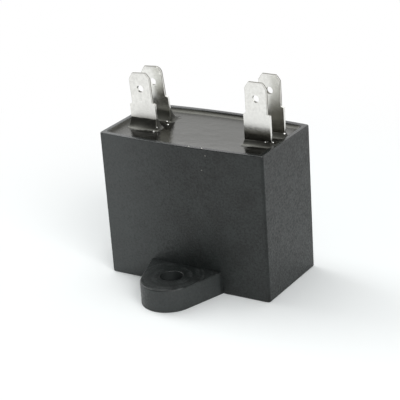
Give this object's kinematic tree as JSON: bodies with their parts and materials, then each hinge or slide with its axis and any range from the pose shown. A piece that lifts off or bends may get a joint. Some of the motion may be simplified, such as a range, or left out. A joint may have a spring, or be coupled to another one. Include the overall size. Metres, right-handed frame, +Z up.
{
  "type": "motor run capacitor",
  "caption": "Potted rectangular motor run capacitor with a mounting ear and a pair of quick-connect blades at each end.",
  "frame": {"origin": "middle of the case's base face, between its four walls", "axes": "+Z up out of the resin along the blades, +X along the long walls, the mounting ear points to -Y"},
  "size_m": [0.05, 0.0434, 0.0571],
  "materials": {
    "case_plastic": "fine spark-textured black moulding",
    "resin": "cast black potting resin, glossy",
    "tinned_strip": "stamped strip, matte tin plated",
    "film": "wound metallised film",
    "sprayed_metal": "rough flame-sprayed zinc and tin",
    "tinned_wire": "drawn wire, tinned",
    "sleeve_plastic": "extruded insulation",
    "solder": "solidified tin solder"
  },
  "bodies": {
    "root": {"case": "case_plastic", "potting_resin": "resin", "double_tab_left": "tinned_strip", "double_tab_right": "tinned_strip", "film_winding": "film", "end_spray_left": "sprayed_metal", "end_spray_right": "sprayed_metal", "lead_left": "tinned_wire", "lead_right": "tinned_wire", "lead_sleeve_left": "sleeve_plastic", "lead_sleeve_right": "sleeve_plastic", "winding_solder_left": "solder", "winding_solder_right": "solder", "tab_solder_left": "solder", "tab_solder_right": "solder"}
  },
  "joints": []
}
